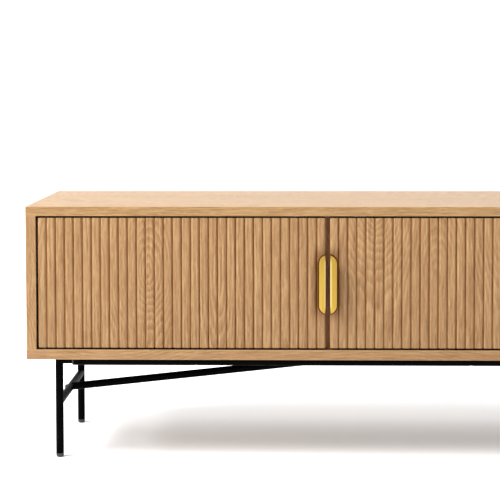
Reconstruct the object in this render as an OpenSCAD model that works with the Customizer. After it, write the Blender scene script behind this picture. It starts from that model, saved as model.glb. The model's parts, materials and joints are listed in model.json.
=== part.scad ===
// A long, low media cabinet: a three-bay oak case with reeded doors on pivots, brass edge pulls,
// and a braced base of black round tube. X runs along the cabinet, -Y is its front, Z is up.
// The origin is on the floor, under the middle of the whole cabinet.

/* [Case] */
// Overall width of the case
case_w = 1800; // [1500:10:2160]
// Depth of the case, from its front edges to its rear edges
case_d = 400; // [330:5:480]
// Height of the case, without the base
case_h = 309; // [255:1:375]
// Thickness of the top panel
top_t = 19; // [18:0.5:25]
// Thickness of the bottom panel
bottom_t = 20; // [18:0.5:25]
// Thickness of the two end panels
side_t = 20; // [18:0.5:25]
// Thickness of the two dividers
divider_t = 20; // [18:0.5:25]
// Thickness of the back panels
back_t = 6; // [4:0.5:8]
// Width of the rebate that the back panels sit in
rebate_w = 9; // [8:0.5:12]
// Bevel along the long edges of the panels
edge_bevel = 0.6; // [0.3:0.1:1.5]

/* [Doors] */
// Number of reeds across each door
reed_count = 32; // [16:1:40]
// How far the outermost reeds are cut short at the door's edges
reed_trim = 1; // [0.5:0.25:2]
// Depth of the grooves between the reeds
reed_relief = 5; // [2:0.25:5]
// Thickness of the reeded facing, from its crests to the board
facing_t = 6; // [6:0.25:8]
// Thickness of the board behind the facing
door_board_t = 16; // [15:0.5:20]
// How far the crests sit behind the front edges of the case
door_recess = 1; // [0:0.25:3]
// Gap between an outer door and the end panel
door_side_gap = 4.2; // [3.8:0.1:6]
// Gap between neighbouring doors
door_gap = 9.5; // [8:0.5:12]
// Gap above and below each door
door_end_gap = 3.25; // [2.5:0.25:5]

/* [Pivots and catches] */
// Distance from a door's hinge edge to its pivot axis
pivot_inset = 10; // [9:0.5:14]
// Distance from the crests back to the pivot axis
pivot_depth = 11; // [10:0.5:12]
// Diameter of the pivot pins
pivot_pin_d = 5; // [4:0.5:6]
// How far a pin reaches into its bush
pivot_reach = 8; // [6:0.5:10]
// Outer diameter of the pivot bushes
bush_d = 9; // [8:0.5:10]
// Distance from a door's handle edge to the middle of its catch
catch_inset = 60; // [40:5:120]
// Length of each magnetic catch
catch_l = 46; // [40:1:60]

/* [Handles] */
// Height of each half-round pull
handle_h = 122; // [90:1:160]
// Width of each pull
handle_w = 15.5; // [14:0.5:16]
// Thickness of the pull's plate
handle_plate_t = 6; // [4:0.5:8]
// Height of the posts that hold the plate off the reeds
handle_post_h = 14; // [10:0.5:20]
// Diameter of the posts
handle_post_d = 9; // [8:0.5:10]
// Distance between the two posts
handle_pitch = 64; // [48:8:96]
// Bevel round the front of the plate
handle_bevel = 2; // [0.5:0.25:2.5]

/* [Shelves and cable holes] */
// Thickness of the shelves
shelf_t = 16; // [15:0.5:22]
// Gap at each end of a shelf
shelf_end_gap = 1; // [0.5:0.5:2]
// Space between a shelf and the back panel, for cables
shelf_rear_gap = 22; // [5:1:60]
// Distance between the shelf pin holes in a row
pin_pitch = 32; // [20:1:40]
// Diameter of the cable holes
cable_hole_d = 60; // [40:1:80]
// Distance from the underside of the top to the middle of a cable hole
cable_hole_drop = 74; // [45:1:80]

/* [Base] */
// Height of the base, from the floor to the underside of the case
base_h = 212; // [170:1:255]
// Diameter of the legs, the stretchers and the braces
leg_d = 16; // [14:1:20]
// Wall of the legs, the stretchers and the braces
leg_wall = 1.5; // [1:0.25:2]
// Distance from the ends of the case to the leg centres
leg_inset_x = 57; // [40:1:120]
// Distance from the front and rear edges of the case to the leg centres
leg_inset_y = 55; // [30:1:80]
// Diameter of the long rails
rail_d = 22; // [21:1:26]
// Wall of the long rails
rail_wall = 1.5; // [1:0.25:1.75]
// Distance from a leg's centre to the end of a rail
rail_start = 27; // [24:1:50]
// Height of the stretchers above the floor
stretcher_z = 114; // [80:1:140]
// Depth of the point under the case where the lines of the two braces meet
brace_drop = 6.5; // [6.5:0.5:12]
// Distance from the middle of the cabinet to the inner end of a brace
brace_end = 45; // [45:1:90]
// Height of the rounded part of the foot glides
glide_h = 8; // [6:0.5:12]

/* [Hidden] */
$fn = 64;

oak = "#c9995f";
oak_light = "#d8b184";
brass = "#d9ae4d";
black = "#151515";
steel = "#9a9a9a";
dark = "#3a3835";

fit_gap = 0.1;               // radial gap round screws, dowels and cams
pin_gap = 0.05;              // radial running clearance of a pivot pin in its bush
cut = 1;                     // how far a cut runs past the face that it opens

// Overall sizes and the main planes
handle_out = handle_post_h + handle_plate_t - door_recess;
total_h = base_h + case_h;
total_d = case_d + handle_out;
front_y = handle_out - total_d / 2;
rear_y = front_y + case_d;
mid_y = (front_y + rear_y) / 2;
half_w = case_w / 2;
inner_half = half_w - side_t;
floor_z = base_h + bottom_t;
ceiling_z = total_h - top_t;
inner_h = ceiling_z - floor_z;
back_y = rear_y - back_t;

// Doors: 0 is the left one, hinged at its left edge. 1 and 2 are hinged at their right edges.
door_w = (2 * inner_half - 2 * door_side_gap - 2 * door_gap) / 3;
door_h = inner_h - 2 * door_end_gap;
door_z = floor_z + door_end_gap;
door_x = [for (i = [0:2]) -inner_half + door_side_gap + i * (door_w + door_gap)];
hinge_x = [door_x[0], door_x[1] + door_w, door_x[2] + door_w];
crest_y = front_y + door_recess;
board_y = crest_y + facing_t;
door_back_y = board_y + door_board_t;
reed_pitch = (door_w + 2 * reed_trim) / reed_count;
pivot_y = crest_y + pivot_depth;

// The dividers start behind the arc of the doors' rear hinge corners.
swing_clearance = 1.1;
swing_reach = norm([pivot_inset, facing_t + door_board_t - pivot_depth]);
divider_y = pivot_y + swing_reach + swing_clearance;
divider_x = [door_x[1] - door_gap / 2, door_x[2] - door_gap / 2];
divider_d = back_y - divider_y;

// Compartments, as [left face, right face]
bays = [
    [-inner_half, divider_x[0] - divider_t / 2],
    [divider_x[0] + divider_t / 2, divider_x[1] - divider_t / 2],
    [divider_x[1] + divider_t / 2, inner_half]
];

// Pivot hardware
plate_t = 2.5;               // thickness of the plates let into the door's ends
plate_l = 44;                // length of a plate
plate_w = 13;                // width of a plate
plate_start = 2;             // distance from the door's hinge edge to the plate
plate_y = board_y + 1;       // front edge of a plate
peg_d = 6;                   // pegs under a plate, pressed into the board
peg_h = 12;
peg_s = [24, 38];            // distances of the pegs from the hinge edge
bush_flange_d = 12;
bush_flange_t = 1;
bush_gap = 0.05;             // running gap between the lower bush and its plate

// Catches and strike plates
catch_d = 14;
catch_h = 13;
catch_seat = 4;              // thickness left under the head of a catch screw
catch_screw_pitch = 32;
catch_gap = 0.3;             // gap between a closed door's strike plate and the catch
magnet_size = [26, 5, 8];
strike_size = [34, 1.2, 12];
catch_y = door_back_y + strike_size[1] + catch_gap;
catch_s = door_w - catch_inset;

// Screws, as [shank diameter, length, head diameter, head height]
handle_screw = [4, 30, 8, 3];
frame_screw = [4, 17, 8, 2.5];
catch_screw = [3, 12, 5.5, 1.25];
back_screw = [3, 18, 6, 1.5];

// Case joints: cams and dowels in the ends of each upright
cam_d = 15;
cam_drop = 24;               // distance from a panel's face to the centre of a cam
cam_set = 3.5;               // how far a cam runs past the middle of its upright
cam_bolt_d = 6;
cam_bolt_neck_d = 4;
cam_bolt_grip = 11;          // how far a cam bolt is screwed into the panel
dowel_d = 8;
dowel_grip = 11;             // how far a dowel is in the panel
dowel_l = 30;
cam_y = [front_y + 70, rear_y - 70];
dowel_y = [front_y + 112, rear_y - 112];
upright_x = [-half_w + side_t / 2, divider_x[0]];
upright_t = [side_t, divider_t];
upright_face = [1, -1];      // the side of each upright that its cams are set in

// Shelves
shelf_y = divider_y + 5;
shelf_d = back_y - shelf_rear_gap - shelf_y;
shelf_z = floor_z + (inner_h - shelf_t) / 2;
pin_d = 5;
pin_in = 8;                  // how far a shelf pin is in its upright
pin_out = 9;
pin_tab = [8, 11, 2];
pin_z = shelf_z - pin_d / 2;
pin_y = [shelf_y + 45, shelf_y + shelf_d - 45];

// Back panels and grommets
panel_gap = 0.5;             // gap round each back panel
back_x = [
    [-inner_half - rebate_w + panel_gap, divider_x[0] - panel_gap],
    [divider_x[0] + panel_gap, divider_x[1] - panel_gap],
    [divider_x[1] + panel_gap, inner_half + rebate_w - panel_gap]
];
back_z = [floor_z - rebate_w + panel_gap, ceiling_z + rebate_w - panel_gap];
back_screw_in = 4.5;         // distance from a back panel's edge to its screws
cable_z = ceiling_z - cable_hole_drop;
grommet_wall = 2;
grommet_lip = 5;
grommet_lip_t = 1.5;

// Base
leg_x = half_w - leg_inset_x;
leg_y = [front_y + leg_inset_y, rear_y - leg_inset_y];
leg_bore = leg_d - 2 * leg_wall;
rail_z = base_h - rail_d / 2;
rail_bore = rail_d - 2 * rail_wall;
spigot_l = 62;               // from the leg's centre to the end of a spigot
spigot_d = min(leg_d, rail_bore - 3);
spigot_wall = 2;
bushing_lip = 3;             // the rounded rim of a rail bushing
bushing_l = 26;
set_screw_x = leg_x - rail_start - 18;
set_screw_d = 5;
bar_w = 30;                  // flat bar between the tops of two legs
bar_t = 4;
bar_start = 6;
glide_round = 4;
glide_plug_h = 14;

// Braces, in a frame that starts at the middle of a stretcher and runs up to the centre bracket.
// Their lines meet low enough for the bracket's pins to stay under the case, and for the ends of
// the braces to stay under its plate.
bracket_l = 150;
bracket_w = 44;
bracket_t = 3;
brace_clear = bracket_t + 0.3 + leg_d / 2;
brace_meet = max(
    brace_drop,
    leg_bore / 2,
    (brace_clear - brace_end * (base_h - stretcher_z) / leg_x) / (1 - brace_end / leg_x)
);
brace_rise = base_h - brace_meet - stretcher_z;
brace_angle = atan(brace_rise / leg_x);
brace_l = (leg_x - brace_end) / cos(brace_angle);
brace_bolt = [6, 30, 11, 3.5];
brace_plug_l = 22;
bracket_pin_in = 40;         // how far the bracket's pins reach into the braces
bracket_screw = [60, 16];
hub_l = 40;                  // block in the middle of the bracket, around the roots of its pins
hub_h = brace_meet + hub_l / 2 * tan(brace_angle) + leg_bore / 2 + 1.5;
screw_head_gap = 0.02;

rail_screw_x = [-2 * leg_x / 3, 0, 2 * leg_x / 3];
rail_screw_z = rail_z + sqrt(pow(rail_bore / 2, 2) - pow(frame_screw[2] / 2, 2)) - screw_head_gap;
bar_screw_y = [mid_y - 90, mid_y + 90];

// Outline of a rectangle with bevelled corners
function bevelled(w, h, b) = [
    [b, 0], [w - b, 0], [w, b], [w, h - b], [w - b, h], [b, h], [0, h - b], [0, b]
];

// Depth below the crests at a distance s from the door's hinge edge. Each reed is flat over the middle
// part of its width, and its rounded shoulders fall with the third power of the distance.
reed_flat = 0.4;
function reed_depth(s) =
    let (u = (s + reed_trim) / reed_pitch, e = abs(2 * (u - floor(u) - 0.5)))
    reed_relief * pow(max(0, e - reed_flat) / (1 - reed_flat), 3);

reed_steps = [-0.5, -0.44, -0.37, -0.29, -0.2, 0.2, 0.29, 0.37, 0.44];
reed_s = concat(
    [0],
    [for (i = [0:reed_count - 1], f = reed_steps)
        let (s = (i + 0.5 + f) * reed_pitch - reed_trim)
        if (s > 0.2 && s < door_w - 0.2) s],
    [door_w]
);

module both_sides() {
    children();
    mirror([1, 0, 0]) children();
}

// Places door parts that are drawn with X as the distance from the hinge edge.
module on_door(i) {
    translate([hinge_x[i], 0, 0]) mirror([i == 0 ? 0 : 1, 0, 0]) children();
}

module board_along_x(x0, l, y0, d, z0, h, bevel) {
    translate([x0, y0, z0]) rotate([90, 0, 90]) linear_extrude(l) polygon(bevelled(d, h, bevel));
}

module board_along_z(x0, w, y0, d, z0, h, bevel) {
    translate([x0, y0, z0]) linear_extrude(h) polygon(bevelled(w, d, bevel));
}

// A screw along Z, with its seat at z = 0 and its tip at z = -s[1]
module pan_screw(s) {
    difference() {
        union() {
            translate([0, 0, -s[1]]) cylinder(d = s[0], h = s[1]);
            cylinder(d = s[2], h = s[3]);
        }
        translate([0, 0, s[3] / 3]) cylinder(d = s[2] * 0.45, h = s[3] + cut, $fn = 6);
    }
}

// A countersunk screw along Z, with the top of its head at z = 0
module flat_screw(s) {
    difference() {
        union() {
            translate([0, 0, -s[1]]) cylinder(d = s[0], h = s[1]);
            translate([0, 0, -s[3]]) cylinder(d1 = s[0], d2 = s[2], h = s[3]);
        }
        translate([0, 0, -s[3] * 0.6]) cylinder(d = s[0] * 0.7, h = s[3], $fn = 6);
    }
}

module screw_hole(s, l) {
    translate([0, 0, -l]) cylinder(d = s[0] + 2 * fit_gap, h = l + cut);
}

module flat_screw_hole(s, l) {
    screw_hole(s, l);
    translate([0, 0, -s[3]]) cylinder(d1 = s[0] + 2 * fit_gap, d2 = s[2] + 2 * fit_gap, h = s[3]);
    cylinder(d = s[2] + 2 * fit_gap, h = cut);
}

module tube(d, wall, l) {
    difference() {
        cylinder(d = d, h = l);
        translate([0, 0, -cut]) cylinder(d = d - 2 * wall, h = l + 2 * cut);
    }
}

// Case joints. Each list drawer works on the left half; both_sides() gives the right half.
module at_joints(points_y) {
    for (k = [0, 1], y = points_y) {
        translate([upright_x[k], y, ceiling_z]) children();
        translate([upright_x[k], y, floor_z]) mirror([0, 0, 1]) children();
    }
}

module cam_bolt_holes() {
    both_sides() at_joints(cam_y)
        translate([0, 0, -cam_drop]) cylinder(d = cam_bolt_d + 2 * fit_gap, h = cam_drop + cam_bolt_grip + 0.5);
}

module dowel_holes() {
    both_sides() at_joints(dowel_y)
        translate([0, 0, dowel_grip - dowel_l - 0.5]) cylinder(d = dowel_d + 2 * fit_gap, h = dowel_l + 1);
}

module cam_holes() {
    both_sides() for (k = [0, 1], y = cam_y, z = [ceiling_z - cam_drop, floor_z + cam_drop])
        translate([upright_x[k] + upright_face[k] * upright_t[k] / 2, y, z])
            rotate([0, 90 * upright_face[k], 0])
                translate([0, 0, -upright_t[k] / 2 - cam_set])
                    cylinder(d = cam_d + 2 * fit_gap, h = upright_t[k] / 2 + cam_set + cut);
}

module pin_holes() {
    for (bay = bays, y = pin_y, step = [-1:1]) {
        z = pin_z + step * pin_pitch;
        translate([bay[0] - pin_in - 0.5, y, z]) rotate([0, 90, 0])
            cylinder(d = pin_d + 2 * fit_gap, h = pin_in + 0.5 + cut);
        translate([bay[1] - cut, y, z]) rotate([0, 90, 0])
            cylinder(d = pin_d + 2 * fit_gap, h = pin_in + 0.5 + cut);
    }
}

// Back panel screws, as [x, z] for each panel
function back_screw_points(i) =
    let (x0 = back_x[i][0] + back_screw_in, x1 = back_x[i][1] - back_screw_in)
    let (z0 = back_z[0] + back_screw_in, z1 = back_z[1] - back_screw_in)
    concat(
        [for (f = [0.04, 0.5, 0.96], z = [z0, z1]) [x0 + f * (x1 - x0), z]],
        [for (x = [x0, x1]) [x, (z0 + z1) / 2]]
    );

module at_back_screws() {
    for (i = [0:2], p = back_screw_points(i))
        translate([p[0], rear_y, p[1]]) rotate([-90, 0, 0]) children();
}

// The rebate along the rear edges of the top, the bottom and the end panels
module rebate() {
    translate([-inner_half - rebate_w, back_y, floor_z - rebate_w])
        cube([2 * (inner_half + rebate_w), back_t + cut, inner_h + 2 * rebate_w]);
}

module bush_holes() {
    for (i = [0:2]) on_door(i)
        for (z = [ceiling_z - cut, floor_z - pivot_reach - 0.5])
            translate([pivot_inset, pivot_y, z])
                cylinder(d = bush_d, h = pivot_reach + 0.5 + cut);
}

// Screws that hold the base to the underside of the case
module at_frame_screws() {
    for (sx = [-1, 1]) {
        for (y = bar_screw_y) translate([sx * leg_x, y, base_h - bar_t]) rotate([180, 0, 0]) children();
        for (sy = [-1, 1])
            translate([sx * bracket_screw[0], mid_y + sy * bracket_screw[1], base_h - bracket_t])
                rotate([180, 0, 0]) children();
    }
    for (x = rail_screw_x, y = leg_y) translate([x, y, rail_screw_z]) rotate([180, 0, 0]) children();
}

module top_panel() {
    color(oak_light) difference() {
        board_along_x(-half_w, case_w, front_y, case_d, ceiling_z, top_t, edge_bevel);
        rebate();
        cam_bolt_holes();
        dowel_holes();
        bush_holes();
        at_catch_screws() translate([0, 0, catch_seat - catch_h]) screw_hole(catch_screw, catch_screw[1] + 0.5);
        at_back_screws() screw_hole(back_screw, back_screw[1] + 0.5);
    }
}

module bottom_panel() {
    color(oak) difference() {
        board_along_x(-half_w, case_w, front_y, case_d, base_h, bottom_t, edge_bevel);
        rebate();
        cam_bolt_holes();
        dowel_holes();
        bush_holes();
        at_back_screws() screw_hole(back_screw, back_screw[1] + 0.5);
        at_frame_screws() screw_hole(frame_screw, frame_screw[1] + 0.5);
    }
}

module end_panel() {
    difference() {
        board_along_z(-half_w, side_t, front_y, case_d, floor_z, inner_h, edge_bevel);
        rebate();
        cam_bolt_holes();
        dowel_holes();
        cam_holes();
        pin_holes();
        at_back_screws() screw_hole(back_screw, back_screw[1] + 0.5);
    }
}

module left_side_panel() { color(oak) end_panel(); }
module right_side_panel() { color(oak) mirror([1, 0, 0]) end_panel(); }

module divider() {
    difference() {
        board_along_z(divider_x[0] - divider_t / 2, divider_t, divider_y, divider_d, floor_z, inner_h, edge_bevel);
        cam_bolt_holes();
        dowel_holes();
        cam_holes();
        pin_holes();
        at_back_screws() screw_hole(back_screw, back_screw[1] + 0.5);
    }
}

module left_divider() { color(oak) divider(); }
module right_divider() { color(oak) mirror([1, 0, 0]) divider(); }

module back_panel(i) {
    difference() {
        translate([back_x[i][0], back_y, back_z[0]])
            cube([back_x[i][1] - back_x[i][0], back_t, back_z[1] - back_z[0]]);
        translate([(bays[i][0] + bays[i][1]) / 2, back_y - cut, cable_z]) rotate([-90, 0, 0])
            cylinder(d = cable_hole_d, h = back_t + 2 * cut);
        at_back_screws() flat_screw_hole(back_screw, back_t + cut);
    }
}

module left_back_panel() { color(oak) back_panel(0); }
module middle_back_panel() { color(oak) back_panel(1); }
module right_back_panel() { color(oak) back_panel(2); }

module shelf(i) {
    board_along_x(bays[i][0] + shelf_end_gap, bays[i][1] - bays[i][0] - 2 * shelf_end_gap,
        shelf_y, shelf_d, shelf_z, shelf_t, edge_bevel);
}

module left_shelf() { color(oak) shelf(0); }
module middle_shelf() { color(oak) shelf(1); }
module right_shelf() { color(oak) shelf(2); }

// Four pins hold each shelf: a round shank in the upright and a flat tab under the shelf.
module shelf_pins() {
    color(steel) for (bay = bays, y = pin_y) {
        translate([bay[0] - pin_in, y, pin_z]) rotate([0, 90, 0]) cylinder(d = pin_d, h = pin_in + pin_out);
        translate([bay[0] + 0.5, y - pin_tab[1] / 2, shelf_z - pin_tab[2]]) cube(pin_tab);
        translate([bay[1] - pin_out, y, pin_z]) rotate([0, 90, 0]) cylinder(d = pin_d, h = pin_in + pin_out);
        translate([bay[1] - 0.5 - pin_tab[0], y - pin_tab[1] / 2, shelf_z - pin_tab[2]]) cube(pin_tab);
    }
}

// A cam is a drum with a cross recess, and a slot from the side for the head of its bolt.
module cam(t) {
    h = t / 2 + cam_set;
    difference() {
        translate([0, 0, -h]) cylinder(d = cam_d, h = h);
        translate([-cam_d / 2 - cut, -cam_bolt_d / 2 - 0.4, -h - cut])
            cube([cam_d / 2 + cut + 4.5, cam_bolt_d + 0.8, 2 * cam_set + 0.8 + cut]);
        for (a = [0, 90]) rotate([0, 0, a]) translate([-4, -0.9, -2.2]) cube([8, 1.8, 2.2 + cut]);
    }
}

module cam_locks() {
    color(steel) both_sides() for (k = [0, 1], y = cam_y, up = [1, -1]) {
        z = up > 0 ? ceiling_z - cam_drop : floor_z + cam_drop;
        translate([upright_x[k] + upright_face[k] * upright_t[k] / 2, y, z])
            rotate([0, 90 * upright_face[k], 0])
                rotate([0, 0, up * upright_face[k] > 0 ? 0 : 180]) cam(upright_t[k]);
    }
}

// A cam bolt: thread in the panel, shank in the upright, neck and head in the cam
module cam_bolts() {
    color(steel) both_sides() at_joints(cam_y) {
        translate([0, 0, -cam_drop + 7]) cylinder(d = cam_bolt_d, h = cam_drop - 7 + cam_bolt_grip);
        translate([0, 0, -cam_drop]) cylinder(d = cam_bolt_neck_d, h = 7);
        translate([0, 0, -cam_drop - 3]) cylinder(d = cam_bolt_d, h = 3.5);
    }
}

module dowels() {
    color(oak_light) both_sides() at_joints(dowel_y)
        translate([0, 0, dowel_grip - dowel_l]) cylinder(d = dowel_d, h = dowel_l);
}

module back_screws() {
    color(steel) at_back_screws() flat_screw(back_screw);
}

// Each grommet lines a cable hole and has a lip on the rear face.
module cable_grommets() {
    color(black) for (bay = bays)
        translate([(bay[0] + bay[1]) / 2, back_y, cable_z]) rotate([-90, 0, 0]) difference() {
            union() {
                cylinder(d = cable_hole_d - 2 * fit_gap, h = back_t);
                translate([0, 0, -grommet_lip_t]) cylinder(d = cable_hole_d + 2 * grommet_lip, h = grommet_lip_t);
            }
            translate([0, 0, -grommet_lip_t - cut])
                cylinder(d = cable_hole_d - 2 * grommet_wall, h = back_t + grommet_lip_t + 2 * cut);
        }
}

// Doors, drawn with X as the distance from the hinge edge
post_s = door_w + reed_trim - reed_pitch / 2;    // the posts stand on the crest of the last reed
post_z = [for (side = [-1, 1]) door_z + door_h / 2 + side * handle_pitch / 2];

module at_handle_screws() {
    for (z = post_z)
        translate([post_s, door_back_y - handle_screw[3], z]) rotate([-90, 0, 0]) children();
}

// Things at the top of a door, and mirrored at its bottom: z = 0 is the door's end face.
module at_door_ends() {
    translate([0, 0, door_z + door_h]) children();
    translate([0, 0, door_z]) mirror([0, 0, 1]) children();
}

module door_board() {
    difference() {
        translate([0, board_y, door_z]) cube([door_w, door_board_t, door_h]);
        at_door_ends() {
            translate([plate_start - fit_gap, plate_y - fit_gap, -plate_t])
                cube([plate_l + 2 * fit_gap, plate_w + 2 * fit_gap, plate_t + cut]);
            for (s = peg_s) translate([s, plate_y + plate_w / 2, -plate_t - peg_h - 0.5])
                cylinder(d = peg_d + 2 * fit_gap, h = peg_h + 1);
        }
        at_handle_screws() {
            screw_hole(handle_screw, door_board_t);
            cylinder(d = handle_screw[2] + 2 * fit_gap, h = handle_screw[3] + cut);
        }
    }
}

module left_door_board() { color(oak) on_door(0) door_board(); }
module middle_door_board() { color(oak) on_door(1) door_board(); }
module right_door_board() { color(oak) on_door(2) door_board(); }

module door_facing() {
    difference() {
        translate([0, crest_y, door_z]) linear_extrude(door_h) polygon(concat(
            [for (s = reed_s) [s, reed_depth(s)]],
            [[door_w, facing_t], [0, facing_t]]
        ));
        at_handle_screws() screw_hole(handle_screw, door_board_t + facing_t);
    }
}

module left_door_facing() { color(oak) on_door(0) door_facing(); }
module middle_door_facing() { color(oak) on_door(1) door_facing(); }
module right_door_facing() { color(oak) on_door(2) door_facing(); }

// Outline of a pull: one half of a long slot shape that the gap between the doors cuts in two.
// w is the distance from the door's handle edge, and inset shrinks the outline for the bevel.
handle_r = handle_w + door_gap / 2;
handle_arc_z = handle_h / 2 - sqrt(pow(handle_r, 2) - pow(door_gap / 2, 2));
handle_arc_steps = 16;

function handle_outline(inset) =
    let (r = handle_r - inset, x0 = door_gap / 2 + inset)
    let (a0 = acos(x0 / r))
    [for (side = [1, -1], i = [0:handle_arc_steps])
        let (a = side > 0 ? a0 * (1 - i / handle_arc_steps) : a0 * i / handle_arc_steps)
        [-(r * cos(a) - door_gap / 2), side * (handle_arc_z + r * sin(a))]];

module handle() {
    plate_back = crest_y - handle_post_h;
    translate([door_w, 0, door_z + door_h / 2]) {
        translate([0, plate_back, 0]) rotate([90, 0, 0])
            linear_extrude(handle_plate_t - handle_bevel) polygon(handle_outline(0));
        hull() {
            translate([0, plate_back - handle_plate_t + handle_bevel, 0]) rotate([90, 0, 0])
                linear_extrude(0.01) polygon(handle_outline(0));
            translate([0, plate_back - handle_plate_t + 0.01, 0]) rotate([90, 0, 0])
                linear_extrude(0.01) polygon(handle_outline(handle_bevel / 2));
        }
    }
    for (z = post_z) translate([post_s, crest_y, z]) rotate([90, 0, 0])
        cylinder(d = handle_post_d, h = handle_post_h);
}

module drilled_handle() {
    difference() {
        handle();
        at_handle_screws() screw_hole(handle_screw, handle_screw[1] + 0.5);
    }
}

module left_handle() { color(brass) on_door(0) drilled_handle(); }
module middle_handle() { color(brass) on_door(1) drilled_handle(); }
module right_handle() { color(brass) on_door(2) drilled_handle(); }

module left_handle_screws() { color(steel) on_door(0) at_handle_screws() pan_screw(handle_screw); }
module middle_handle_screws() { color(steel) on_door(1) at_handle_screws() pan_screw(handle_screw); }
module right_handle_screws() { color(steel) on_door(2) at_handle_screws() pan_screw(handle_screw); }

// A pivot is a plate let into the door's end, with two pegs in the board and a pin in the case's bush.
module door_pivots() {
    at_door_ends() {
        translate([plate_start, plate_y, -plate_t]) cube([plate_l, plate_w, plate_t]);
        for (s = peg_s) translate([s, plate_y + plate_w / 2, -plate_t - peg_h]) cylinder(d = peg_d, h = peg_h);
        translate([pivot_inset, pivot_y, -plate_t])
            cylinder(d = pivot_pin_d, h = plate_t + door_end_gap + pivot_reach - 0.5);
    }
}

module left_door_pivots() { color(dark) on_door(0) door_pivots(); }
module middle_door_pivots() { color(dark) on_door(1) door_pivots(); }
module right_door_pivots() { color(dark) on_door(2) door_pivots(); }

// Bushes pressed into the case. The lower ones have a tall flange that carries the door.
module pivot_bush(flange_t) {
    difference() {
        union() {
            cylinder(d = bush_d, h = pivot_reach);
            translate([0, 0, -flange_t]) cylinder(d = bush_flange_d, h = flange_t);
        }
        translate([0, 0, -flange_t - cut])
            cylinder(d = pivot_pin_d + 2 * pin_gap, h = flange_t + pivot_reach + 2 * cut);
    }
}

module pivot_bushes() {
    color(dark) for (i = [0:2]) on_door(i) {
        translate([pivot_inset, pivot_y, ceiling_z]) pivot_bush(bush_flange_t);
        translate([pivot_inset, pivot_y, floor_z]) mirror([0, 0, 1]) pivot_bush(door_end_gap - bush_gap);
    }
}

module strike_plate() {
    translate([catch_s - strike_size[0] / 2, door_back_y, door_z + door_h - strike_size[2]])
        cube(strike_size);
}

module left_strike_plate() { color(dark) on_door(0) strike_plate(); }
module middle_strike_plate() { color(dark) on_door(1) strike_plate(); }
module right_strike_plate() { color(dark) on_door(2) strike_plate(); }

module at_catch_screws() {
    for (i = [0:2]) on_door(i) for (side = [-1, 1])
        translate([catch_s + side * catch_screw_pitch / 2, catch_y + catch_d / 2 + 2, ceiling_z - catch_h])
            rotate([180, 0, 0]) children();
}

module catch_housings() {
    color(dark) difference() {
        for (i = [0:2]) on_door(i)
            translate([catch_s - catch_l / 2, catch_y, ceiling_z - catch_h]) cube([catch_l, catch_d, catch_h]);
        for (i = [0:2]) on_door(i) magnet(fit_gap, cut);
        at_catch_screws() {
            translate([0, 0, catch_seat - catch_h]) cylinder(d = catch_screw[2] + 0.4, h = catch_h);
            screw_hole(catch_screw, catch_h + cut);
        }
    }
}

// The magnet block in the front of a catch, or the pocket for it
module magnet(gap, out) {
    translate([catch_s - magnet_size[0] / 2 - gap, catch_y - out, ceiling_z - catch_h / 2 - magnet_size[2] / 2 - gap])
        cube([magnet_size[0] + 2 * gap, magnet_size[1] + out + gap, magnet_size[2] + 2 * gap]);
}

module catch_magnets() {
    color(steel) for (i = [0:2]) on_door(i) magnet(0, 0);
}

module catch_screws() {
    color(steel) at_catch_screws() translate([0, 0, catch_seat - catch_h]) pan_screw(catch_screw);
}

// The base: legs, stretchers, bars and rails of black steel
module corner_leg(sx, y) {
    translate([sx * leg_x, y, glide_h]) tube(leg_d, leg_wall, base_h - glide_h);
}

module left_front_leg() { color(black) corner_leg(-1, leg_y[0]); }
module left_rear_leg() { color(black) corner_leg(-1, leg_y[1]); }
module right_front_leg() { color(black) corner_leg(1, leg_y[0]); }
module right_rear_leg() { color(black) corner_leg(1, leg_y[1]); }

// A glide has a rounded foot of the leg's diameter and a plug in the leg's bore.
module foot_glides() {
    r = leg_d / 2;
    color(black) for (sx = [-1, 1], y = leg_y) translate([sx * leg_x, y, 0]) rotate_extrude() polygon(concat(
        [[0, 0]],
        [for (a = [0:15:90]) [r - glide_round + glide_round * sin(a), glide_round - glide_round * cos(a)]],
        [[r, glide_h], [leg_bore / 2 - fit_gap, glide_h], [leg_bore / 2 - fit_gap, glide_h + glide_plug_h],
            [0, glide_h + glide_plug_h]]
    ));
}

// The legs on one side as solid rods, for shaping what is welded to them
module leg_shadows() {
    for (y = leg_y) translate([-leg_x, y, 0]) cylinder(d = leg_d, h = base_h + cut);
}

module along_brace() {
    translate([-leg_x, mid_y, stretcher_z]) rotate([0, 90 - brace_angle, 0]) children();
}

module stretcher_line(d) {
    translate([-leg_x, leg_y[0], stretcher_z]) rotate([-90, 0, 0]) cylinder(d = d, h = leg_y[1] - leg_y[0]);
}

module stretcher() {
    difference() {
        stretcher_line(leg_d);
        stretcher_line(leg_bore);
        leg_shadows();
        along_brace() translate([0, 0, -leg_d]) cylinder(d = brace_bolt[0] + 0.4, h = 2 * leg_d);
    }
}

module left_stretcher() { color(black) stretcher(); }
module right_stretcher() { color(black) mirror([1, 0, 0]) stretcher(); }

module top_bar() {
    difference() {
        translate([-leg_x - bar_w / 2, leg_y[0] + bar_start, base_h - bar_t])
            cube([bar_w, leg_y[1] - leg_y[0] - 2 * bar_start, bar_t]);
        leg_shadows();
        for (y = bar_screw_y) translate([-leg_x, y, base_h - bar_t - cut])
            cylinder(d = frame_screw[0] + 0.5, h = bar_t + 2 * cut);
    }
}

module left_top_bar() { color(black) top_bar(); }
module right_top_bar() { color(black) mirror([1, 0, 0]) top_bar(); }

// Screw holes for the rails: a small one in the upper wall and an access hole in the lower one
module long_rail(y) {
    start = leg_x - rail_start - bushing_lip;
    difference() {
        translate([-start, y, rail_z]) rotate([0, 90, 0]) tube(rail_d, rail_wall, 2 * start);
        for (x = rail_screw_x) translate([x, y, rail_z]) {
            cylinder(d = frame_screw[0] + 0.5, h = rail_d);
            translate([0, 0, -rail_d]) cylinder(d = frame_screw[2] + 3, h = rail_d);
        }
        at_set_screws() set_screw_hole();
    }
}

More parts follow.
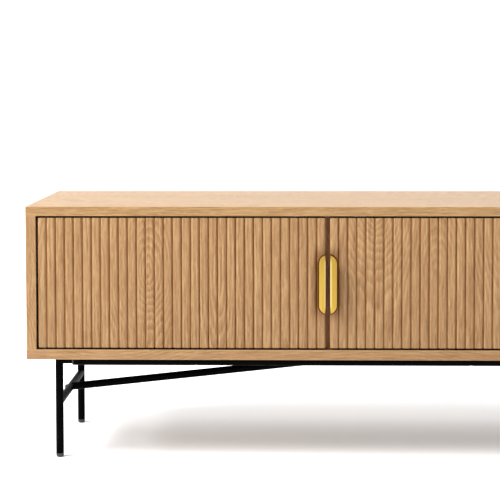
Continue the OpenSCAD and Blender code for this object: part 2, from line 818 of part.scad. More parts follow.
module front_rail() { color(black) long_rail(leg_y[0]); }
module rear_rail() { color(black) long_rail(leg_y[1]); }

// Set screws sit on the inner side of each rail, where they don't show. Z points out of the rail.
module at_set_screws() {
    for (sx = [-1, 1], k = [0, 1])
        translate([sx * set_screw_x, leg_y[k], rail_z]) rotate([k == 0 ? -90 : 90, 0, 0]) children();
}

module set_screw_hole() {
    cylinder(d = set_screw_d + 2 * fit_gap, h = rail_d);
}

module rail_set_screws() {
    inner = spigot_d / 2 - spigot_wall - 0.5;
    color(steel) at_set_screws() difference() {
        translate([0, 0, inner]) cylinder(d = set_screw_d, h = rail_d / 2 - inner);
        translate([0, 0, rail_d / 2 - 2.5]) cylinder(d = 2.9, h = 2.5 + cut, $fn = 6);
    }
}

module rail_spigots() {
    color(black) difference() {
        for (sx = [0, 1], y = leg_y) mirror([sx, 0, 0])
            translate([-leg_x, y, rail_z]) rotate([0, 90, 0]) tube(spigot_d, spigot_wall, spigot_l);
        leg_shadows();
        mirror([1, 0, 0]) leg_shadows();
        at_set_screws() set_screw_hole();
    }
}

// A bushing centres a rail on its spigot, and its rounded rim closes the rail's end.
module rail_bushings() {
    rim = rail_d / 2;
    bore = spigot_d / 2 + fit_gap;
    round = bushing_lip * 0.9;
    color(black) difference() {
        for (sx = [0, 1], y = leg_y) mirror([sx, 0, 0])
            translate([-leg_x + rail_start, y, rail_z]) rotate([0, 90, 0]) rotate_extrude() polygon(concat(
                [[bore, 0]],
                [for (a = [0:15:90]) [rim - round + round * sin(a), round - round * cos(a)]],
                [[rim, bushing_lip], [rail_bore / 2 - fit_gap, bushing_lip],
                    [rail_bore / 2 - fit_gap, bushing_l], [bore, bushing_l]]
            ));
        at_set_screws() set_screw_hole();
    }
}

module brace() {
    difference() {
        along_brace() cylinder(d = leg_d, h = brace_l);
        along_brace() cylinder(d = leg_bore, h = brace_l + cut);
        stretcher_line(leg_d);
    }
}

module left_brace() { color(black) brace(); }
module right_brace() { color(black) mirror([1, 0, 0]) brace(); }

module brace_plugs() {
    color(steel) both_sides() along_brace() translate([0, 0, leg_d / 2 + 1.5]) difference() {
        cylinder(d = leg_bore - 2 * fit_gap, h = brace_plug_l);
        translate([0, 0, -cut]) cylinder(d = brace_bolt[0] + 2 * fit_gap, h = brace_plug_l + 2 * cut);
    }
}

// A brace bolt runs from the outside of the stretcher into the plug. Its head has a seat hollowed to the tube.
module brace_bolts() {
    seat = leg_d / 2 + 1;
    color(black) both_sides() difference() {
        along_brace() {
            translate([0, 0, -seat]) cylinder(d = brace_bolt[0], h = seat + brace_bolt[1]);
            translate([0, 0, -seat]) cylinder(d = brace_bolt[2], h = 4);
            translate([0, 0, -seat - brace_bolt[3]])
                cylinder(d1 = brace_bolt[2] - 4, d2 = brace_bolt[2], h = brace_bolt[3]);
        }
        difference() {
            stretcher_line(leg_d);
            along_brace() translate([0, 0, -leg_d]) cylinder(d = brace_bolt[0], h = 2 * leg_d);
        }
        along_brace() translate([0, 0, -seat - brace_bolt[3] - cut])
            cylinder(d = 4, h = brace_bolt[3] * 0.7 + cut, $fn = 6);
    }
}

// The centre bracket is a plate and a block under the case, with a round pin in the end of each brace.
module centre_bracket() {
    color(black) {
        difference() {
            translate([-bracket_l / 2, mid_y - bracket_w / 2, base_h - bracket_t])
                cube([bracket_l, bracket_w, bracket_t]);
            for (sx = [-1, 1], sy = [-1, 1])
                translate([sx * bracket_screw[0], mid_y + sy * bracket_screw[1], base_h - bracket_t - cut])
                    cylinder(d = frame_screw[0] + 0.5, h = bracket_t + 2 * cut);
        }
        translate([-hub_l / 2, mid_y - leg_d / 2, base_h - hub_h]) cube([hub_l, leg_d, hub_h]);
        both_sides() along_brace() translate([0, 0, brace_l - bracket_pin_in])
            cylinder(d = leg_bore - 2 * fit_gap, h = (leg_x - hub_l / 10) / cos(brace_angle) - brace_l + bracket_pin_in);
    }
}

module frame_screws() {
    color(steel) at_frame_screws() pan_screw(frame_screw);
}

top_panel();
bottom_panel();
left_side_panel();
right_side_panel();
left_divider();
right_divider();
left_back_panel();
middle_back_panel();
right_back_panel();
left_shelf();
middle_shelf();
right_shelf();
shelf_pins();
cam_locks();
cam_bolts();
dowels();
back_screws();
cable_grommets();
left_door_board();
middle_door_board();
right_door_board();
left_door_facing();
middle_door_facing();
right_door_facing();
left_handle();
middle_handle();
right_handle();
left_handle_screws();
middle_handle_screws();
right_handle_screws();
left_door_pivots();
middle_door_pivots();
right_door_pivots();
left_strike_plate();
middle_strike_plate();
right_strike_plate();
pivot_bushes();
catch_housings();
catch_magnets();
catch_screws();
left_front_leg();
left_rear_leg();
right_front_leg();
right_rear_leg();
foot_glides();
left_stretcher();
right_stretcher();
left_top_bar();
right_top_bar();
front_rail();
rear_rail();
rail_spigots();
rail_bushings();
rail_set_screws();
left_brace();
right_brace();
brace_plugs();
brace_bolts();
centre_bracket();
frame_screws();
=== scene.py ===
import json
import math

import bpy
import numpy as np
from mathutils import Euler, Matrix, Vector


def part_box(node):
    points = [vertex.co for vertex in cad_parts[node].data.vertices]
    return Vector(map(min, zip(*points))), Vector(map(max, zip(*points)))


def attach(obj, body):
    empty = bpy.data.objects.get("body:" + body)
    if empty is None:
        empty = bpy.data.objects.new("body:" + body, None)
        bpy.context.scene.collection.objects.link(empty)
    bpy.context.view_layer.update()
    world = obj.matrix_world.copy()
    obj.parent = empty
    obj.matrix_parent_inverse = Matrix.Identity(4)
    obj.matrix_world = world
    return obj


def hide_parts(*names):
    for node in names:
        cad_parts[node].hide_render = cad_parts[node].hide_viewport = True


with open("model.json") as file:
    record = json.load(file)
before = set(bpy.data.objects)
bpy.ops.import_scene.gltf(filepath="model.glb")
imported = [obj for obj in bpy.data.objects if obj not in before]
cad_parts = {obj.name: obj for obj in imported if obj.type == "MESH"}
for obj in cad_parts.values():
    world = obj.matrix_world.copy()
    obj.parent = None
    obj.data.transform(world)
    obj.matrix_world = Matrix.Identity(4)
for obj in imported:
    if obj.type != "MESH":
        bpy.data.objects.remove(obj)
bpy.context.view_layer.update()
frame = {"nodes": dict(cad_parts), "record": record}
nodes = frame["nodes"]
record = frame["record"]
slotOfNode = {part["node"]: part["material_slot"] for part in record["subparts"]}
print("stage: CAD frame loaded,", len(nodes), "nodes")

mm = 0.001
doorNames = ["left", "middle", "right"]
hingeSide = {"left": 1, "middle": -1, "right": -1}  # direction from a door's hinge edge to its handle edge


def addNode(tree, kind, inputs=None, **settings):
    # One shader node. Inputs are given by name or number: a socket is linked, anything else is set as a value.
    node = tree.nodes.new(kind)
    for key, value in settings.items():
        setattr(node, key, value)
    for key, value in (inputs or {}).items():
        socket = node.inputs[key]
        if isinstance(value, bpy.types.NodeSocket):
            tree.links.new(value, socket)
        else:
            socket.default_value = value
    return node


def math2(tree, operation, a, b=0.0, clamp=False):
    return addNode(tree, "ShaderNodeMath", {0: a, 1: b}, operation=operation, use_clamp=clamp).outputs[0]


def mulAdd(tree, a, scale, offset):
    return addNode(tree, "ShaderNodeMath", {0: a, 1: scale, 2: offset}, operation="MULTIPLY_ADD").outputs[0]


def smoothMask(tree, value, low, high):
    # 0 below low, 1 above high, smooth between them; low may be the larger one.
    flip = low > high
    settings = {"Value": value, "From Min": min(low, high), "From Max": max(low, high),
                "To Min": 1.0 if flip else 0.0, "To Max": 0.0 if flip else 1.0}
    return addNode(tree, "ShaderNodeMapRange", settings, interpolation_type="SMOOTHSTEP").outputs[0]


def mixColour(tree, factor, a, b, blend="MIX"):
    node = addNode(tree, "ShaderNodeMix", data_type="RGBA", blend_type=blend)
    for socket, value in ((node.inputs[0], factor), (node.inputs[6], a), (node.inputs[7], b)):
        if isinstance(value, bpy.types.NodeSocket):
            tree.links.new(value, socket)
        else:
            socket.default_value = value
    return node.outputs[2]


def stretched(tree, vector, scale):
    # The vector with each axis scaled, so that a noise read with it is drawn out along the small one.
    return addNode(tree, "ShaderNodeVectorMath", {0: vector, 1: scale}, operation="MULTIPLY").outputs[0]


def noise(tree, vector, detail=2.0, roughness=0.5, output="Fac"):
    inputs = {"Vector": vector, "Scale": 1.0, "Detail": detail, "Roughness": roughness}
    return addNode(tree, "ShaderNodeTexNoise", inputs).outputs[output]


def newGroup(name, inputs, outputs):
    # A shader node group with named sockets. It returns the tree, its inputs by name, and a function that sets
    # an output.
    group = bpy.data.node_groups.new(name, "ShaderNodeTree")
    for label, kind, value in inputs:
        socket = group.interface.new_socket(label, in_out="INPUT", socket_type=kind)
        if value is not None:
            socket.default_value = value
    for label, kind in outputs:
        group.interface.new_socket(label, in_out="OUTPUT", socket_type=kind)
    source = group.nodes.new("NodeGroupInput")
    sink = group.nodes.new("NodeGroupOutput")
    given = {label: source.outputs[label] for label, _, _ in inputs}

    def put(label, socket):
        group.links.new(socket, sink.inputs[label])

    return group, given, put


def colour(red, green, blue):
    return (red, green, blue, 1.0)


grainSize = {"plank": 0.125, "ring": 0.0072}


def makeOakGrain():
    # Oak cut from logs that lie along local Z, glued up from planks side by side along local X. Each plank has
    # growth rings round its own pith: ring = distance from the pith / ring width, and the pith wanders in depth
    # along the plank, so a face that passes close to it shows nested arches and the rest shows straight lines.
    group, given, put = newGroup("oakGrain", [
        ("Vector", "NodeSocketVector", None),
        ("Figure Strength", "NodeSocketFloat", 1.0),
        ("Light", "NodeSocketColor", colour(0.6, 0.4, 0.2)),
        ("Middle", "NodeSocketColor", colour(0.5, 0.3, 0.15)),
        ("Dark", "NodeSocketColor", colour(0.3, 0.15, 0.07)),
    ], [("Color", "NodeSocketColor"), ("Roughness", "NodeSocketFloat"), ("Height", "NodeSocketFloat")])
    tree = group
    place = given["Vector"]
    axis = addNode(tree, "ShaderNodeSeparateXYZ", {0: place}).outputs
    lane = mulAdd(tree, axis[0], 1.0 / grainSize["plank"], 0.0)
    plank = addNode(tree, "ShaderNodeMath", {0: lane}, operation="FLOOR").outputs[0]
    chance = addNode(tree, "ShaderNodeTexWhiteNoise", {"W": plank}, noise_dimensions="1D").outputs["Value"]
    across = math2(tree, "MULTIPLY", mulAdd(tree, chance, 0.5, -0.75), grainSize["plank"])
    inPlank = addNode(tree, "ShaderNodeMath", {0: lane}, operation="FRACT").outputs[0]
    across = math2(tree, "ADD", across, mulAdd(tree, inPlank, grainSize["plank"], 0.0))
    along = math2(tree, "ADD", mulAdd(tree, axis[2], 1.3, 0.0), mulAdd(tree, chance, 57.0, 0.0))
    wander = addNode(tree, "ShaderNodeTexNoise", {"W": along, "Scale": 1.0, "Detail": 1.0, "Roughness": 0.5},
                     noise_dimensions="1D").outputs["Fac"]
    depth = math2(tree, "ADD", axis[1], mulAdd(tree, wander, 0.34, -0.155))
    reach = math2(tree, "SQRT", math2(tree, "ADD", math2(tree, "MULTIPLY", across, across),
                                      math2(tree, "MULTIPLY", depth, depth)))
    loose = noise(tree, stretched(tree, place, (24.0, 24.0, 5.5)), 2.0, 0.5)
    ragged = noise(tree, stretched(tree, place, (300.0, 300.0, 45.0)), 2.0, 0.6)
    rings = mulAdd(tree, reach, 1.0 / grainSize["ring"], 0.0)
    rings = math2(tree, "ADD", rings, mulAdd(tree, loose, 1.7, 0.0))
    rings = math2(tree, "ADD", rings, mulAdd(tree, ragged, 0.5, 0.0))
    turn = addNode(tree, "ShaderNodeMath", {0: rings}, operation="FRACT").outputs[0]

    # within a ring: a soft rise up to a thin dark line, and a thin light line after it
    darkLine = math2(tree, "MULTIPLY", smoothMask(tree, turn, 0.35, 0.86), smoothMask(tree, turn, 1.0, 0.88))
    lightLine = math2(tree, "MULTIPLY", smoothMask(tree, turn, 0.0, 0.10), smoothMask(tree, turn, 0.40, 0.12))
    calm = noise(tree, stretched(tree, place, (9.0, 9.0, 2.6)), 1.0, 0.5)
    show = mulAdd(tree, smoothMask(tree, calm, 0.42, 0.62), 0.75, 0.25)
    show = math2(tree, "MULTIPLY", show, given["Figure Strength"])
    ringTone = math2(tree, "SUBTRACT", mulAdd(tree, lightLine, 0.22, 0.0), mulAdd(tree, darkLine, 0.18, 0.0))
    ringTone = math2(tree, "MULTIPLY", ringTone, show)

    sway = noise(tree, stretched(tree, place, (9.0, 9.0, 4.0)), 1.0, 0.5, "Color")
    sway = addNode(tree, "ShaderNodeVectorMath", {0: sway, 1: (0.5, 0.5, 0.5)}, operation="SUBTRACT").outputs[0]
    sway = stretched(tree, sway, (0.012, 0.012, 0.0))
    bent = addNode(tree, "ShaderNodeVectorMath", {0: place, 1: sway}, operation="ADD").outputs[0]
    band = noise(tree, stretched(tree, bent, (300.0, 300.0, 10.0)), 2.0, 0.5)
    fibre = noise(tree, stretched(tree, bent, (640.0, 640.0, 26.0)), 3.0, 0.6)
    hair = noise(tree, stretched(tree, bent, (2100.0, 2100.0, 60.0)), 2.0, 0.5)
    pore = noise(tree, stretched(tree, bent, (1300.0, 1300.0, 70.0)), 1.0, 0.4)
    poreMask = smoothMask(tree, pore, 0.60, 0.70)
    fleck = noise(tree, stretched(tree, place, (420.0, 420.0, 60.0)), 1.0, 0.4)
    fleckMask = smoothMask(tree, fleck, 0.62, 0.72)
    wide = noise(tree, stretched(tree, place, (14.0, 14.0, 1.6)), 2.0, 0.5)

    tone = mulAdd(tree, band, 0.80, 0.10)
    tone = math2(tree, "ADD", tone, mulAdd(tree, fibre, 1.30, -0.65))
    tone = math2(tree, "ADD", tone, mulAdd(tree, hair, 0.30, -0.15))
    tone = math2(tree, "ADD", tone, mulAdd(tree, wide, 0.30, -0.15))
    tone = math2(tree, "ADD", tone, ringTone, clamp=True)
    ramp = addNode(tree, "ShaderNodeMapRange", {"Value": tone, "From Min": 0.0, "From Max": 0.5}).outputs[0]
    low = mixColour(tree, ramp, given["Dark"], given["Middle"])
    ramp = addNode(tree, "ShaderNodeMapRange", {"Value": tone, "From Min": 0.5, "From Max": 1.0}).outputs[0]
    shade = mixColour(tree, ramp, low, given["Light"])
    shade = mixColour(tree, math2(tree, "MULTIPLY", fleckMask, 0.4), shade, given["Light"])
    shade = mixColour(tree, math2(tree, "MULTIPLY", poreMask, 0.35), shade, given["Dark"])
    put("Color", shade)
    rough = mulAdd(tree, fibre, 0.16, 0.31)
    put("Roughness", math2(tree, "ADD", rough, math2(tree, "MULTIPLY", poreMask, 0.2)))
    height = math2(tree, "SUBTRACT", mulAdd(tree, fibre, 0.5, 0.0), math2(tree, "MULTIPLY", poreMask, 0.8))
    put("Height", height)
    return group


def insideBy(group, given):
    # How far a point lies inside a box along each axis: the lesser of its distances from the two faces.
    low = {0: given["Vector"], 1: given["Low"]}
    high = {0: given["High"], 1: given["Vector"]}
    fromLow = addNode(group, "ShaderNodeVectorMath", low, operation="SUBTRACT")
    fromHigh = addNode(group, "ShaderNodeVectorMath", high, operation="SUBTRACT")
    pair = {0: fromLow.outputs[0], 1: fromHigh.outputs[0]}
    near = addNode(group, "ShaderNodeVectorMath", pair, operation="MINIMUM")
    return addNode(group, "ShaderNodeSeparateXYZ", {0: near.outputs[0]}).outputs


def makeBoxEdge():
    # 1 along the edges of a box given by two corners, 0 away from them: the second nearest of the three pairs
    # of faces tells how far a point is from an edge.
    group, given, put = newGroup("boxEdge", [
        ("Vector", "NodeSocketVector", None),
        ("Low", "NodeSocketVector", None),
        ("High", "NodeSocketVector", None),
        ("Width", "NodeSocketFloat", 0.001),
    ], [("Mask", "NodeSocketFloat")])
    part = insideBy(group, given)
    lesser = math2(group, "MINIMUM", part[0], part[1])
    greater = math2(group, "MAXIMUM", part[0], part[1])
    second = math2(group, "MAXIMUM", lesser, math2(group, "MINIMUM", greater, part[2]))
    share = math2(group, "DIVIDE", second, given["Width"])
    put("Mask", smoothMask(group, share, 1.0, 0.2))
    return group


def makeInsideBox():
    # 1 inside a box given by two corners, 0 outside it.
    group, given, put = newGroup("insideBox", [
        ("Vector", "NodeSocketVector", None),
        ("Low", "NodeSocketVector", None),
        ("High", "NodeSocketVector", None),
    ], [("Mask", "NodeSocketFloat")])
    part = insideBy(group, given)
    least = math2(group, "MINIMUM", math2(group, "MINIMUM", part[0], part[1]), part[2])
    put("Mask", math2(group, "GREATER_THAN", least, 0.0))
    return group


def makeFineTexture():
    # The pebbled surface of a powder coat or moulded plastic, with faint blotches in the tone.
    group, given, put = newGroup("fineTexture", [
        ("Vector", "NodeSocketVector", None),
        ("Grain Size", "NodeSocketFloat", 1.0),
    ], [("Height", "NodeSocketFloat"), ("Blotch", "NodeSocketFloat"), ("Speckle", "NodeSocketFloat")])
    sized = {0: given["Vector"], "Scale": given["Grain Size"]}
    place = addNode(group, "ShaderNodeVectorMath", sized, operation="SCALE").outputs[0]
    put("Height", noise(group, stretched(group, place, (1900.0,) * 3), 2.0, 0.55))
    put("Blotch", noise(group, stretched(group, place, (24.0,) * 3), 3.0, 0.55))
    put("Speckle", noise(group, stretched(group, place, (700.0,) * 3), 2.0, 0.6))
    return group


def makeBrushing():
    # Hair lines along local Z, with slower streaks and smudges left by hands.
    group, given, put = newGroup("brushing", [
        ("Vector", "NodeSocketVector", None),
    ], [("Lines", "NodeSocketFloat"), ("Streaks", "NodeSocketFloat"), ("Smudges", "NodeSocketFloat")])
    put("Lines", noise(group, stretched(group, given["Vector"], (5200.0, 5200.0, 60.0)), 2.0, 0.6))
    put("Streaks", noise(group, stretched(group, given["Vector"], (900.0, 900.0, 14.0)), 2.0, 0.55))
    put("Smudges", noise(group, stretched(group, given["Vector"], (95.0, 95.0, 60.0)), 3.0, 0.6))
    return group


oakGrain = makeOakGrain()
boxEdge = makeBoxEdge()
insideBox = makeInsideBox()
fineTexture = makeFineTexture()
brushing = makeBrushing()


def useGroup(tree, group, inputs):
    node = tree.nodes.new("ShaderNodeGroup")
    node.node_tree = group
    for key, value in inputs.items():
        if isinstance(value, bpy.types.NodeSocket):
            tree.links.new(value, node.inputs[key])
        else:
            node.inputs[key].default_value = value
    return node.outputs


def newMaterial(name, **values):
    # A material with a Principled BSDF, whose plain values are set on its own sockets.
    material = bpy.data.materials.new(name)
    material.use_nodes = True
    tree = material.node_tree
    shader = tree.nodes["Principled BSDF"]
    for key, value in values.items():
        shader.inputs[key].default_value = value
    place = tree.nodes.new("ShaderNodeTexCoord").outputs["Object"]
    return material, tree, shader, place


def pointMark(tree, label):
    # A value that the mesh carries at each of its points.
    return addNode(tree, "ShaderNodeAttribute", attribute_name=label, attribute_type="GEOMETRY").outputs["Fac"]


def bumpInto(tree, shader, height, strength, distance):
    bump = addNode(tree, "ShaderNodeBump", {"Height": height, "Strength": strength, "Distance": distance})
    tree.links.new(bump.outputs[0], shader.inputs["Normal"])


oak = {
    "light": colour(0.332, 0.212, 0.102),
    "middle": colour(0.234, 0.132, 0.0575),
    "dark": colour(0.130, 0.058, 0.021),
    "edge": colour(0.335, 0.220, 0.110),
    "groove": colour(1.22, 1.00, 0.90),    # painted warm shade of the wood deep between the reeds
    "pullShadow": colour(0.70, 0.58, 0.50),   # painted shadow on the wood beside the pulls
    "gapShadeColour": colour(0.010, 0.006, 0.003),  # painted shade on the edges of the doors, for the dark gaps round them
    "edgeWidth": 1.4 * mm,
    "rim": 0.4 * mm,                       # depth of the painted gap shade
    "level": 0.2,
    "bump": 0.10,
}
axes = {"x": Vector((1.0, 0.0, 0.0)), "y": Vector((0.0, 1.0, 0.0)), "z": Vector((0.0, 0.0, 1.0))}


def grainTurn(along, wide):
    # The rotation that lays a board's grain along local Z and its width along local X.
    rows = (axes[wide], axes[along].cross(axes[wide]), axes[along])
    return tuple(Matrix(rows).to_euler())


def oakMaterial(name, along, wide, shift, box=None, strength=1.0, warm=1.0, gapShadeSide=0, grooved=False,
                pullShadow=None, front=None):
    # Lacquered oak. The shift moves each board to its own place in the log, and the box, where there is one,
    # tells where the board's edges are, which are sanded round and a little lighter. A board with a gap shade
    # side has painted shade on its edges, dark and with little gloss, for the gaps round the doors, apart from
    # the one on the side given by -1 or 1. A front tint is painted warm light on the front edge alone. A
    # grooved board gets painted warm shade in its grooves and painted gap shade on its ends, and the patch
    # beside a pull gets painted shadow.
    material, tree, shader, place = newMaterial(name, **{"IOR": 1.46})
    laid = {"Vector": place, "Location": shift, "Rotation": grainTurn(along, wide)}
    turned = addNode(tree, "ShaderNodeMapping", laid)
    tint = [colour(*(np.array(c[:3]) * warm)) for c in (oak["light"], oak["middle"], oak["dark"])]
    grain = useGroup(tree, oakGrain, {"Vector": turned.outputs[0], "Figure Strength": strength,
                                      "Light": tint[0], "Middle": tint[1], "Dark": tint[2]})
    shade = grain["Color"]
    level = None
    if box:
        low, high = box
        edge = useGroup(tree, boxEdge, {"Vector": place, "Low": low, "High": high, "Width": oak["edgeWidth"]})
        shade = mixColour(tree, math2(tree, "MULTIPLY", edge["Mask"], 0.5), shade, oak["edge"])
    # painted warm light on the front edge, where it lies in shade behind a gap
    if front:
        y = addNode(tree, "ShaderNodeSeparateXYZ", {0: place}).outputs[1]
        warmLightAtFront = smoothMask(tree, y, box[0].y + 4 * mm, box[0].y + 2 * mm)
        shade = mixColour(tree, warmLightAtFront, shade, front, "MULTIPLY")
    if grooved:
        # painted warm shade deep in the grooves between the reeds
        grooveShadeMask = pointMark(tree, "depth")
        shade = mixColour(tree, grooveShadeMask, shade, oak["groove"], "MULTIPLY")
    # painted shadow of the pull on the reeds beside it
    if pullShadow:
        middle, reachX, reachZ = pullShadow
        away = addNode(tree, "ShaderNodeVectorMath", {0: place, 1: middle}, operation="SUBTRACT")
        away = addNode(tree, "ShaderNodeVectorMath", {0: away.outputs[0]}, operation="ABSOLUTE")
        away = addNode(tree, "ShaderNodeSeparateXYZ", {0: away.outputs[0]}).outputs
        near = math2(tree, "MULTIPLY", smoothMask(tree, away[0], *reachX), smoothMask(tree, away[2], *reachZ))
        shade = mixColour(tree, near, shade, oak["pullShadow"], "MULTIPLY")
    if gapShadeSide:
        # the painted gap shade is a dark rim with little gloss, this deep round the edges; far past the board,
        # there is none on that side
        past = -9.0 * mm
        lowInset = Vector((oak["rim"], past, oak["rim"]))
        highInset = lowInset.copy()
        plainSide = highInset if gapShadeSide > 0 else lowInset
        plainSide.x = past
        corners = {"Vector": place, "Low": box[0] + lowInset, "High": box[1] - highInset}
        rim = useGroup(tree, insideBox, corners)["Mask"]
        shade = mixColour(tree, rim, oak["gapShadeColour"], shade)
        level = rim
    if grooved:
        # painted shade on the reeds' top and bottom ends and hinge edge, dark and with little gloss, for the
        # gaps round the door
        ends = pointMark(tree, "ends")
        shade = mixColour(tree, ends, shade, oak["gapShadeColour"])
        level = math2(tree, "SUBTRACT", 1.0, ends)
    if level:
        tree.links.new(mulAdd(tree, level, oak["level"] - 0.02, 0.02), shader.inputs["Specular IOR Level"])
    else:
        shader.inputs["Specular IOR Level"].default_value = oak["level"]
    tree.links.new(shade, shader.inputs["Base Color"])
    tree.links.new(grain["Roughness"], shader.inputs["Roughness"])
    bumpInto(tree, shader, grain["Height"], oak["bump"], 0.25 * mm)
    return material


def metalMaterial(name, base, roughness, blotch, metallic=1.0, level=0.5):
    # Plated or blackened steel: a fine grain, and blotches in the tone and the gloss.
    material, tree, shader, place = newMaterial(name, **{"Metallic": metallic, "Specular IOR Level": level})
    fine = useGroup(tree, fineTexture, {"Vector": place, "Grain Size": 1.6})
    dull = colour(*[c * (1.0 - blotch) for c in base[:3]])
    mask = smoothMask(tree, fine["Blotch"], 0.35, 0.65)
    tree.links.new(mixColour(tree, mask, base, dull), shader.inputs["Base Color"])
    rough = mulAdd(tree, fine["Speckle"], 0.18, roughness - 0.09)
    tree.links.new(rough, shader.inputs["Roughness"])
    bumpInto(tree, shader, fine["Height"], 0.12, 0.05 * mm)
    return material


powder = {
    "tone": colour(0.0007, 0.0007, 0.0008),
    "wearAndHighlight": colour(0.0016, 0.0016, 0.0016),
    "roughness": 0.42,
}


def powderMaterial():
    # Matt black powder coat: pebbled, nearly without gloss, and a touch greyer where it has been handled.
    material, tree, shader, place = newMaterial("blackPowderCoat", **{"Specular IOR Level": 0.06, "IOR": 1.2})
    fine = useGroup(tree, fineTexture, {"Vector": place, "Grain Size": 1.0})
    mask = smoothMask(tree, fine["Blotch"], 0.45, 0.75)
    tree.links.new(mixColour(tree, mask, powder["tone"], powder["wearAndHighlight"]), shader.inputs["Base Color"])
    rough = mulAdd(tree, fine["Speckle"], 0.16, powder["roughness"] - 0.08)
    tree.links.new(rough, shader.inputs["Roughness"])
    bumpInto(tree, shader, fine["Height"], 0.35, 0.10 * mm)
    return material


brass = {
    "face": colour(0.425, 0.270, 0.051),
    "streak": colour(0.38, 0.235, 0.043),
    "wearAndHighlight": colour(0.53, 0.42, 0.17),    # painted highlight on the inner chamfer
    "darkReflectionAndShade": colour(0.13, 0.060, 0.008),    # painted dark reflection and shade on the outer bevel and the sides
    "roughness": 0.30,
}


def brassMaterial():
    # Satin brass brushed along its height, with a painted pale highlight along the inner chamfer, painted dark
    # reflection of the shaded door on the sides, and with faint smudges from hands.
    material, tree, shader, place = newMaterial("satinBrass", **{"Metallic": 1.0, "Anisotropic": 0.3})
    lines = useGroup(tree, brushing, {"Vector": place})
    mask = smoothMask(tree, lines["Streaks"], 0.38, 0.66)
    shade = mixColour(tree, mask, brass["face"], brass["streak"])
    shade = mixColour(tree, pointMark(tree, "wearAndHighlight"), shade, brass["wearAndHighlight"])
    shade = mixColour(tree, pointMark(tree, "darkReflectionAndShade"), shade, brass["darkReflectionAndShade"])
    tree.links.new(shade, shader.inputs["Base Color"])
    rough = mulAdd(tree, lines["Lines"], 0.14, brass["roughness"] - 0.07)
    smudge = math2(tree, "MULTIPLY", smoothMask(tree, lines["Smudges"], 0.5, 0.75), 0.08)
    rough = math2(tree, "ADD", rough, smudge)
    tree.links.new(rough, shader.inputs["Roughness"])
    bumpInto(tree, shader, lines["Lines"], 0.10, 0.03 * mm)
    return material


def plasticMaterial(name, base, other, roughness):
    material, tree, shader, place = newMaterial(name)
    fine = useGroup(tree, fineTexture, {"Vector": place, "Grain Size": 0.8})
    mask = smoothMask(tree, fine["Blotch"], 0.35, 0.7)
    tree.links.new(mixColour(tree, mask, base, other), shader.inputs["Base Color"])
    tree.links.new(mulAdd(tree, fine["Speckle"], 0.2, roughness - 0.1), shader.inputs["Roughness"])
    bumpInto(tree, shader, fine["Height"], 0.2, 0.06 * mm)
    return material


slotMaterials = {
    "black_steel": powderMaterial(),
    "brass": brassMaterial(),
    "black_bolt_steel": metalMaterial("blackenedSteel", colour(0.010, 0.010, 0.011), 0.42, 0.3, 0.0, 0.2),
    "zinc_steel": metalMaterial("zincPlate", colour(0.52, 0.53, 0.55), 0.34, 0.18),
    "zinc_alloy": metalMaterial("castZinc", colour(0.44, 0.44, 0.43), 0.45, 0.22),
    "pivot_steel": metalMaterial("burnishedSteel", colour(0.018, 0.016, 0.014), 0.38, 0.3),
    "magnet": metalMaterial("nickelPlate", colour(0.42, 0.41, 0.40), 0.25, 0.15),
    "black_plastic": plasticMaterial("blackPlastic", colour(0.008, 0.008, 0.008),
                                     colour(0.013, 0.013, 0.013), 0.5),
    "beech": oakMaterial("beechDowel", "z", "x", (3.1, 0.4, 0.2), None, 0.2, 1.15),
}
# the top board painted lighter and the bottom board darker: painted light from above and painted shade low down
boardLightAndShade = {"top_panel": (1.05, 1.08, 1.03), "bottom_panel": (0.97, 0.95, 0.96)}
dividerWarmLight = colour(1.42, 1.02, 0.82)  # painted warm light on the dividers' front edges, in shade behind the gaps
# for each board: which way its grain runs, which way its width runs, and how strong its figure is
boardGrain = {
    "top_panel": ("x", "y", 0.6), "bottom_panel": ("x", "y", 0.9),
    "left_side_panel": ("z", "y", 0.9), "right_side_panel": ("z", "y", 0.9),
    "left_divider": ("z", "y", 0.7), "right_divider": ("z", "y", 0.7),
    "left_back_panel": ("x", "z", 0.9), "middle_back_panel": ("x", "z", 0.9),
    "right_back_panel": ("x", "z", 0.9),
    "left_shelf": ("x", "y", 0.8), "middle_shelf": ("x", "y", 0.8), "right_shelf": ("x", "y", 0.8),
    "left_door_board": ("z", "x", 0.8), "middle_door_board": ("z", "x", 0.8),
    "right_door_board": ("z", "x", 0.8),
}
for count, (name, (along, wide, strength)) in enumerate(boardGrain.items()):
    low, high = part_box(name)
    shift = (0.377 * count + 0.13, 0.0, 0.53 * count)
    gapShadeSide = hingeSide[name.split("_")[0]] if name.endswith("_door_board") else 0
    tone = boardLightAndShade.get(name, 1.0)
    front = dividerWarmLight if name.endswith("_divider") else None
    material = oakMaterial(name + "Oak", along, wide, shift, (low, high), strength, tone, gapShadeSide,
                           front=front)
    nodes[name].data.materials.clear()
    nodes[name].data.materials.append(material)
for name, node in nodes.items():
    if name not in boardGrain and slotOfNode[name] in slotMaterials:
        node.data.materials.clear()
        node.data.materials.append(slotMaterials[slotOfNode[name]])
print("stage: materials on the CAD nodes")


def meshPiece(name, points, faces, material, body, sharp=32.0, marks=None):
    # A finished piece from arrays of points (metres) and of faces, on a CAD body. Marks are named values per
    # point.
    mesh = bpy.data.meshes.new(name)
    mesh.from_pydata(points.tolist(), [], faces)
    mesh.update()
    for label, values in (marks or {}).items():
        mark = mesh.attributes.new(label, "FLOAT", "POINT")
        mark.data.foreach_set("value", values.astype(np.float32))
    mesh.shade_smooth()
    mesh.set_sharp_from_angle(angle=math.radians(sharp))
    mesh.materials.append(material)
    piece = bpy.data.objects.new(name, mesh)
    bpy.context.scene.collection.objects.link(piece)
    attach(piece, body)
    return piece


